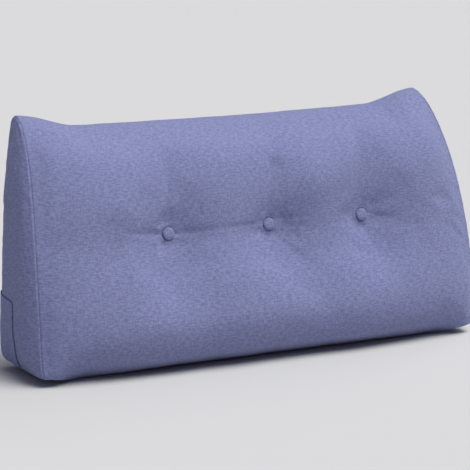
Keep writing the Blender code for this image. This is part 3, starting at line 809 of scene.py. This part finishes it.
def sew(mesh, sizes):
    """Seams, puckers, creases and unevenness, along the cover's own normals."""
    points = read_points(mesh)
    normals = read(mesh.vertex_normals, "vector", 3)
    x, _, z = points.T
    from_seam, on_end, across, up = seam_distances(mesh)
    groove = sizes.seam_depth * bell(from_seam, sizes.seam_width / 2)
    ridge = bell(from_seam - sizes.seam_width * TURNED_IN, sizes.seam_width)
    rise = np.where(on_end, sizes.seam_ridge * ridge, 0.0) - groove
    gathers = bumps(points, PUCKER_GRAIN, 1) * bell(from_seam, PUCKER_RUN)
    rise += sizes.pucker * gathers * (from_seam > EPSILON)
    lumps = sizes.lumps * sum(lump(each, x, z) for each in LUMPS) * crown(from_seam, LUMP_SEAM_RUN)
    lumps *= ease((up - LUMP_LOW) / LUMP_FADE) * (1 - ease((up - LUMP_HIGH) / LUMP_FADE))
    collars = 0.0
    for seat, _ in button_seats():
        around = np.linalg.norm(points - seat, axis=1)
        lumps *= ease((around - LUMP_BUTTON) / LUMP_BUTTON_RUN)
        collar = ease((around - COLLAR_FOOT) / COLLAR_RISE)
        collars += collar * (1 - ease((around - COLLAR_TOP) / COLLAR_FALL))
    creases = sum(valley(crease, x, z) for crease in CREASES)
    front = lumps + sizes.collar * collars - sizes.crease * creases
    rise += np.where((across < EPSILON) & ~on_end, front, 0.0)
    uneven = bumps(points, UNEVEN_GRAIN, 2) + bumps(points, UNEVEN_FINE_GRAIN, 3) / 2
    rise += sizes.unevenness * uneven * crown(from_seam, UNEVEN_SEAM_RUN)
    points += normals * rise[:, None]
    points[:, 2] = np.maximum(points[:, 2], 0.0)
    set_points(mesh, points)


def seam_distances(mesh):
    """Distance of the cover's points from an end seam, which lie on an end panel, and their shares."""
    points = read_points(mesh)
    place, across, up = (
        read(mesh.attributes[name].data, "value") for name in ("place", "across", "up")
    )
    on_end = np.abs(place) > 1 - EPSILON
    rim = (across < EPSILON) | (across > 1 - EPSILON) | (up < EPSILON) | (up > 1 - EPSILON)
    from_seam = HALF_BELLY * (1 - np.abs(place))
    from_seam[on_end] = distance_to(points[on_end], points[on_end & rim])
    return from_seam, on_end, across, up


def distance_to(points, others):
    """Distance from each point to the nearest of the others."""
    tree = kdtree.KDTree(len(others))
    for index, other in enumerate(others):
        tree.insert(other, index)
    tree.balance()
    return np.array([tree.find(point)[2] for point in points])


def shape_button(sizes):
    """A covered button about +Z: flat underside, rounded rim and dome, with the cloth pleated under it."""
    button = add_new(bpy.ops.mesh.primitive_uv_sphere_add, segments=64, ring_count=32, radius=1.0)
    mesh = button.data
    x, y, z = read_points(mesh).T
    turn, reach = np.arctan2(y, x), np.hypot(x, y)
    low = np.clip(-z, 0.0, 1.0)
    under = ease(low / BUTTON_TURN)
    dome = BUTTON_RADIUS * reach ** BUTTON_ROUNDNESS
    rim = BUTTON_RADIUS + (BUTTON_FOOT - BUTTON_RADIUS) * under
    flat = BUTTON_FOOT * reach / math.sqrt(1 - BUTTON_TURN ** 2)
    radius = np.where(z >= 0, dome, np.where(low > BUTTON_TURN, flat, rim))
    height = np.where(z >= 0, BUTTON_RIM + BUTTON_DOME * z, BUTTON_RIM * (1 - under))
    pleat = sizes.pleat * (np.cos(sizes.pleats * turn) - 1) * bell(z + PLEATS_BELOW, PLEATS_REACH)
    radius = np.minimum(radius + pleat, BUTTON_RADIUS)
    points = np.stack((radius * np.cos(turn), radius * np.sin(turn), height), -1)
    set_points(mesh, points)
    corners = read(mesh.loops, "vertex_index", kind=np.int32)
    lay_flat(mesh, points[corners][:, :2] + BUTTON_SHIFT)
    return button


def lay_flat(mesh, flat):
    """UV map in metres from a pair of lengths for each corner."""
    layer = mesh.uv_layers.new(name="weave")
    layer.data.foreach_set("uv", np.ascontiguousarray(flat, np.float32).ravel())


def shape_flap(cover, sizes):
    """The closure flap: a sheet laid round the foot of the back and both ends, then thickened."""
    columns = FLAP_ON_BACK + 2 * FLAP_ON_END
    flap = add_new(
        bpy.ops.mesh.primitive_grid_add, x_subdivisions=columns, y_subdivisions=FLAP_UPWARD, size=2.0,
    )
    flap.name = flap.data.name = "closure_cloth"
    mesh = flap.data
    x, y, _ = read_points(mesh).T
    column = np.rint((x + 1) / 2 * columns)
    up = (y + 1) / 2
    side = np.where(column < FLAP_ON_END, -1.0, np.where(column > columns - FLAP_ON_END, 1.0, 0.0))
    onto = np.maximum(FLAP_ON_END - column, column - columns + FLAP_ON_END) / FLAP_ON_END
    onto = np.maximum(onto, 0.0)
    lengthwise = np.clip((column - FLAP_ON_END) / FLAP_ON_BACK, 0.0, 1.0) * 2 - 1
    place = (np.sin(lengthwise * math.pi / 2) + lengthwise) / 2
    height = sizes.foot + (FLAP_HEIGHT - sizes.foot) * up
    height = height - FLAP_CORNER * onto ** 2 * up ** 2
    swing = np.sin(np.minimum(up / FLAP_SHARE_REACH, 1.0) * math.pi / 2)
    edge = FLAP_SHARE_FOOT + (FLAP_SHARE_TOP - FLAP_SHARE_FOOT) * swing
    set_points(mesh, foot_points(place, side, 1 + (edge - 1) * onto, height))
    past_seam = (1 - edge) * onto * FLAP_SIDE_CLOTH
    along = np.where(side == 0, place * HALF_BELLY, side * (HALF_BELLY + past_seam))
    corners = read(mesh.loops, "vertex_index", kind=np.int32)
    lay_flat(mesh, np.stack((along, height + FLAP_SHIFT), -1)[corners])
    edit(
        flap, "FACE",
        (bpy.ops.mesh.select_all, {"action": "SELECT"}),
        (bpy.ops.mesh.normals_make_consistent, {"inside": False}),
    )
    onto_cover = {"target": cover, "wrap_method": "NEAREST_SURFACEPOINT"}
    apply_modifier(flap, "SHRINKWRAP", **onto_cover, wrap_mode="OUTSIDE_SURFACE", offset=sizes.gap)
    apply_modifier(flap, "SMOOTH", factor=0.5, iterations=3)
    apply_modifier(flap, "SHRINKWRAP", **onto_cover, wrap_mode="OUTSIDE", offset=sizes.gap * LEAST_GAP)
    apply_modifier(flap, "SOLIDIFY", thickness=sizes.thickness, offset=1.0, use_even_offset=True)
    apply_modifier(
        flap, "BEVEL", width=sizes.thickness * FLAP_EDGE_ROUND, segments=2,
        limit_method="ANGLE", angle_limit=1.0,
    )
    return flap


def foot_points(place, side, across, height):
    """Points at a height on the ends, where a side is given, or else on the back."""
    points = back_panel(place, back_row(height, Section(place).ridge))
    on_end = side != 0
    lattice = Lattice()
    steps = np.linspace(0, 1, UPWARD + 1)
    back_z = back_panel(np.full(UPWARD + 1, -1.0), lattice.rows)[:, 2]
    wanted = aim = draw_up(0.0, height[on_end])
    for _ in range(AIM_STEPS):
        up = np.interp(aim, back_z, steps)
        shares, rows = (np.interp(up, steps, lines) for lines in (lattice.shares, lattice.rows))
        points[on_end] = end_panel(side[on_end], shares, rows, up, across[on_end])
        aim = aim + wanted - points[on_end][:, 2]
    return points


def number(name, description, default, least=0.0, **limits):
    return FloatProperty(name=name, description=description, default=default, min=least, **limits)


def length(name, description, default, least=0.0):
    return number(name, description, default, least, unit="LENGTH")


def colour(name, description, default):
    return FloatVectorProperty(
        name=name, description=description, subtype="COLOR", size=3, min=0.0, max=1.0, default=default,
    )


class CoverSizes(bpy.types.PropertyGroup):
    """Sizes of the cover that a user would change"""

    seam_width: length("Seam width", "Width of the groove at an end seam", 0.0028, 0.0005)
    seam_depth: length("Seam depth", "How far an end seam is drawn in", 0.0022)
    seam_ridge: length("Seam ridge", "Height of the turned-in cloth beside an end seam", 0.0006)
    pucker: length("Pucker", "Height of the small gathers along the end seams", 0.0006)
    crease: number("Creases", "Strength of the fine creases round the buttons", 1.0)
    collar: length("Collar", "How far the cloth rises round a button", 0.0026)
    unevenness: length("Unevenness", "Height of the filling's soft lumps", 0.0010)
    lumps: number("Lumps", "Strength of the front's lumps and hollows", 1.0)
    pressure: number("Pressure", "Pressure of the filling", 0.3)
    stiffness: number("Stiffness", "Resistance of the cloth to stretch", 15.0)
    slack: number("Slack", "Share by which the cloth is cut larger", 0.01)
    give: length("Give", "Furthest that the filling may move the cloth", 0.003, 0.0001)


class ButtonSizes(bpy.types.PropertyGroup):
    """Sizes of the covered buttons that a user would change"""

    pleats: IntProperty(
        name="Pleats", description="Pleats of the cloth gathered under a button", default=14, min=0,
    )
    pleat: length("Pleat depth", "Depth of those pleats", 0.00025)


class FlapSizes(bpy.types.PropertyGroup):
    """Sizes of the closure flap that a user would change"""

    foot: length("Foot", "Height of the flap's lower edge", 0.002)
    gap: length("Gap", "Air between the flap and the cover", 0.0010, 0.0002)
    thickness: length("Thickness", "Thickness of the flap's doubled cloth", 0.0016, 0.0005)


class ClothLook(bpy.types.PropertyGroup):
    """Colours and weave of the cloth"""

    light_yarn: colour("Light yarn", "Colour of the cloth's lighter yarn", (0.240, 0.262, 0.478))
    dark_yarn: colour("Dark yarn", "Colour of the cloth's darker yarn", (0.150, 0.165, 0.305))
    roughness: number("Roughness", "Roughness of the cloth", 0.92, max=1.0)
    thread_pitch: length("Thread pitch", "Distance between threads of the weave", 0.0009, 0.0003)


class StageLook(bpy.types.PropertyGroup):
    """Camera, floor and lights"""

    azimuth: number("Azimuth", "Camera's turn round the cushion, in degrees", -28.579, -360.0)
    elevation: number("Elevation", "Camera's angle above the horizon, in degrees", 11.365, -90.0)
    roll: number("Roll", "Camera's roll, in degrees", 0.248, -360.0)
    distance: length("Distance", "Camera's distance from what it looks at", 4.6175)
    lens: number("Lens", "Focal length in millimetres", 173.14, 1.0)
    floor_colour: colour("Floor", "Colour of the plain floor", (0.58, 0.58, 0.58))
    key_strength: number("Key light", "Strength of the main light", 1.93)
    front_strength: number("Front light", "Strength of the light from the front", 1.42)
    back_strength: number("Back light", "Strength of the light from behind", 0.43)
    light_colour: colour("Light colour", "Colour of the three lights", (1.0, 0.992, 0.955))
    softness: number("Softness", "Spread of the lights, in degrees", 40.0)
    fill_strength: number("Fill", "Strength of the light from all round", 0.185)


def add_node(tree, kind, inputs=None, **settings):
    node = tree.nodes.new(kind)
    for name, value in settings.items():
        setattr(node, name, value)
    for name, value in (inputs or {}).items():
        if isinstance(value, bpy.types.NodeSocket):
            tree.links.new(value, node.inputs[name])
        else:
            node.inputs[name].default_value = value
    return node


def math_node(tree, operation, first, second=0.0):
    return add_node(tree, "ShaderNodeMath", {0: first, 1: second}, operation=operation).outputs[0]


def weave_group():
    """Heathered linen weave on a UV map in metres: a mask between its yarns, with painted light and shade
    of the threads' crossings in it, and the threads' height.
    """
    made = bpy.data.node_groups.get("heathered weave")
    if made:
        return made
    group = bpy.data.node_groups.new("heathered weave", "ShaderNodeTree")
    face = group.interface
    face.new_socket("Vector", in_out="INPUT", socket_type="NodeSocketVector")
    for name, value in (("Thread Pitch", 0.0009), ("Fleck Width", 0.0030), ("Fleck Length", 0.0100)):
        socket = face.new_socket(name, in_out="INPUT", socket_type="NodeSocketFloat")
        socket.default_value = value
    face.new_socket("Mask", in_out="OUTPUT", socket_type="NodeSocketFloat")
    face.new_socket("Height", in_out="OUTPUT", socket_type="NodeSocketFloat")
    entry = group.nodes.new("NodeGroupInput").outputs
    way_out = group.nodes.new("NodeGroupOutput").inputs
    parts = add_node(group, "ShaderNodeSeparateXYZ", {"Vector": entry["Vector"]}).outputs

    def work(operation, first, second=0.0):
        return math_node(group, operation, first, second)

    def flecks(wide, long, shift):
        """Short dashes of lighter and darker yarn, long in one direction of the weave."""
        place = add_node(group, "ShaderNodeCombineXYZ", {
            "X": work("DIVIDE", parts["X"], wide),
            "Y": work("DIVIDE", parts["Y"], long),
            "Z": shift,
        })
        return add_node(
            group, "ShaderNodeTexNoise",
            {"Vector": place.outputs[0], "Scale": 1.0, "Detail": 1.0, "Roughness": 0.5},
        ).outputs["Fac"]

    weft = flecks(entry["Fleck Length"], entry["Fleck Width"], 0.0)
    warp = flecks(entry["Fleck Width"], entry["Fleck Length"], WARP_SHIFT)
    mixed = work("ADD", work("MULTIPLY", weft, WEFT_SHARE), work("MULTIPLY", warp, 1 - WEFT_SHARE))
    wander = work("MULTIPLY", mixed, SLUB)

    def threads(along):
        """Ridges of the threads, which wander a little as slubby yarn does."""
        count = work("ADD", work("DIVIDE", along, entry["Thread Pitch"]), wander)
        return work("ABSOLUTE", work("SINE", work("MULTIPLY", count, math.pi)))

    crossing = work("MULTIPLY", threads(parts["X"]), threads(parts["Y"]))
    relief = work("MULTIPLY", crossing, THREAD_RELIEF)
    group.links.new(work("ADD", relief, work("MULTIPLY", mixed, FLECK_RELIEF)), way_out["Height"])
    # painted light and shade: the threads' crossings lighten the yarns' mix, as their relief would under
    # light
    painted_thread_light = work("MULTIPLY", work("SUBTRACT", crossing, THREAD_MEAN), THREAD_PAINTED_LIGHT)
    mask = add_node(group, "ShaderNodeMapRange", {
        "Value": work("ADD", mixed, painted_thread_light), "From Min": LIGHT_FROM, "From Max": LIGHT_TO,
    })
    group.links.new(mask.outputs[0], way_out["Mask"])
    return group


def colour_socket(sockets, name):
    return next(each for each in sockets if each.name == name and each.type == "RGBA")


def cloth_material(name, look):
    """Matte heathered cloth."""
    material = bpy.data.materials.new(name)
    material.use_nodes = True
    tree = material.node_tree
    shader = tree.nodes["Principled BSDF"].inputs
    uv = add_node(tree, "ShaderNodeUVMap", uv_map="weave")
    weave = add_node(tree, "ShaderNodeGroup", node_tree=weave_group())
    tree.links.new(uv.outputs["UV"], weave.inputs["Vector"])
    weave.inputs["Thread Pitch"].default_value = look.thread_pitch
    yarns = add_node(tree, "ShaderNodeMix", {"Factor": weave.outputs["Mask"]}, data_type="RGBA")
    colour_socket(yarns.inputs, "A").default_value = (*look.dark_yarn, 1.0)
    colour_socket(yarns.inputs, "B").default_value = (*look.light_yarn, 1.0)
    tree.links.new(colour_socket(yarns.outputs, "Result"), shader["Base Color"])
    bump = add_node(tree, "ShaderNodeBump", {
        "Height": weave.outputs["Height"], "Strength": RELIEF_STRENGTH, "Distance": RELIEF_HEIGHT,
    })
    tree.links.new(bump.outputs["Normal"], shader["Normal"])
    shader["Roughness"].default_value = look.roughness
    shader["Sheen Weight"].default_value = 0.08
    shader["Sheen Roughness"].default_value = 0.6
    shader["Specular IOR Level"].default_value = 0.2
    return material


def toward(azimuth, elevation):
    """Direction out from the cushion at a turn round it and an angle above the horizon, in degrees."""
    turn, rise = math.radians(azimuth), math.radians(elevation)
    return Vector((math.sin(turn) * math.cos(rise), -math.cos(turn) * math.cos(rise), math.sin(rise)))


class CUSHION_OT_cover(bpy.types.Operator):
    """Make the filled cover with its tufts, folds and seams"""

    bl_idname = "cushion.cover"
    bl_label = "Cover"

    def execute(self, context):
        cover = shape_cover(context.scene.cushion_cover)
        cover.data.materials.append(cloth_material("cover_cloth", context.scene.cushion_cloth))
        select_only(cover)
        bpy.ops.object.shade_smooth()
        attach(cover, "root")
        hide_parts("cushion_body")
        return {"FINISHED"}


class CUSHION_OT_buttons(bpy.types.Operator):
    """Make the three covered buttons in their tufts"""

    bl_idname = "cushion.buttons"
    bl_label = "Buttons"

    def execute(self, context):
        first = shape_button(context.scene.cushion_buttons)
        first.data.materials.append(cloth_material("button_cloth", context.scene.cushion_cloth))
        buttons = [first]
        for _ in range(len(BUTTON_X) - 1):
            select_only(first)
            bpy.ops.object.duplicate()
            buttons.append(context.object)
        for button, name, (seat, lean) in zip(buttons, BUTTON_X, button_seats()):
            button.name = button.data.name = f"covered_{name}"
            select_only(button)
            button.rotation_euler = Vector(lean).to_track_quat("Z", "Y").to_euler()
            button.location = Vector(seat + lean * BUTTON_LIFT)
            bpy.ops.object.transform_apply(location=True, rotation=True, scale=True)
            bpy.ops.object.shade_smooth()
            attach(button, "root")
            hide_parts(name)
        return {"FINISHED"}


class CUSHION_OT_flap(bpy.types.Operator):
    """Make the closure flap round the foot"""

    bl_idname = "cushion.flap"
    bl_label = "Closure flap"

    def execute(self, context):
        cover = bpy.data.objects["tufted_cover"]
        flap = shape_flap(cover, context.scene.cushion_flap)
        flap.data.materials.append(cloth_material("flap_cloth", context.scene.cushion_cloth))
        select_only(flap)
        bpy.ops.object.shade_smooth_by_angle(angle=math.radians(50))
        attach(flap, "root")
        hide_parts("closure_flap")
        return {"FINISHED"}


class CUSHION_OT_stage(bpy.types.Operator):
    """Make the plain floor, the lights and the camera"""

    bl_idname = "cushion.stage"
    bl_label = "Studio"

    def execute(self, context):
        look = context.scene.cushion_stage
        floor = add_new(bpy.ops.mesh.primitive_plane_add, size=FLOOR_SIZE)
        floor.name = "floor"
        material = bpy.data.materials.new("floor_paint")
        material.use_nodes = True
        shader = material.node_tree.nodes["Principled BSDF"].inputs
        shader["Base Color"].default_value = (*look.floor_colour, 1.0)
        shader["Roughness"].default_value = 1.0
        floor.data.materials.append(material)
        back, roll = toward(look.azimuth, look.elevation), math.radians(look.roll)
        level = (-back).cross(Vector((0, 0, 1))).normalized()
        upright = level.cross(-back)
        right = level * math.cos(roll) + upright * math.sin(roll)
        up = upright * math.cos(roll) - level * math.sin(roll)
        turn = Matrix((right, up, back)).transposed()
        camera = add_new(
            bpy.ops.object.camera_add, location=TARGET + back * look.distance, rotation=turn.to_euler(),
        )
        camera.data.lens = look.lens
        camera.data.sensor_width = 36.0
        context.scene.camera = camera
        for name, source, strength in (
            ("key", KEY_FROM, look.key_strength),
            ("front_light", FRONT_FROM, look.front_strength),
            ("back_light", BACK_FROM, look.back_strength),
        ):
            light = add_new(bpy.ops.object.light_add, type="SUN")
            light.name = light.data.name = name
            light.data.energy = strength
            light.data.color = look.light_colour
            light.data.angle = math.radians(look.softness)
            light.rotation_euler = toward(*source).to_track_quat("Z", "Y").to_euler()
        world = bpy.data.worlds.new("studio")
        context.scene.world = world
        world.use_nodes = True
        sky = world.node_tree.nodes["Background"].inputs
        sky["Color"].default_value = FILL_COLOUR
        sky["Strength"].default_value = look.fill_strength
        context.scene.view_settings.view_transform = "Standard"
        return {"FINISHED"}


class CUSHION_PT_sidebar(bpy.types.Panel):
    """Everything above in the 3D view's sidebar"""

    bl_idname = "CUSHION_PT_sidebar"
    bl_label = "Wedge back cushion"
    bl_space_type = "VIEW_3D"
    bl_region_type = "UI"
    bl_category = "Cushion"

    def draw(self, context):
        for operator, groups in PIECES:
            box = self.layout.box()
            box.operator(operator.bl_idname)
            for name, group in groups:
                for prop in group.__annotations__:
                    box.prop(getattr(context.scene, name), prop)


GROUPS = {
    "cushion_cover": CoverSizes,
    "cushion_buttons": ButtonSizes,
    "cushion_flap": FlapSizes,
    "cushion_cloth": ClothLook,
    "cushion_stage": StageLook,
}
PIECES = (
    (CUSHION_OT_cover, (("cushion_cover", CoverSizes), ("cushion_cloth", ClothLook))),
    (CUSHION_OT_buttons, (("cushion_buttons", ButtonSizes),)),
    (CUSHION_OT_flap, (("cushion_flap", FlapSizes),)),
    (CUSHION_OT_stage, (("cushion_stage", StageLook),)),
)
CLASSES = (*GROUPS.values(), *(operator for operator, _ in PIECES), CUSHION_PT_sidebar)


def register():
    for each in CLASSES:
        bpy.utils.register_class(each)
    for name, group in GROUPS.items():
        setattr(bpy.types.Scene, name, PointerProperty(type=group))


def unregister():
    for name in GROUPS:
        delattr(bpy.types.Scene, name)
    for each in reversed(CLASSES):
        bpy.utils.unregister_class(each)


def main():
    register()
    bpy.ops.cushion.cover()
    bpy.ops.cushion.buttons()
    bpy.ops.cushion.flap()
    bpy.ops.cushion.stage()


if __name__ == "__main__":
    main()
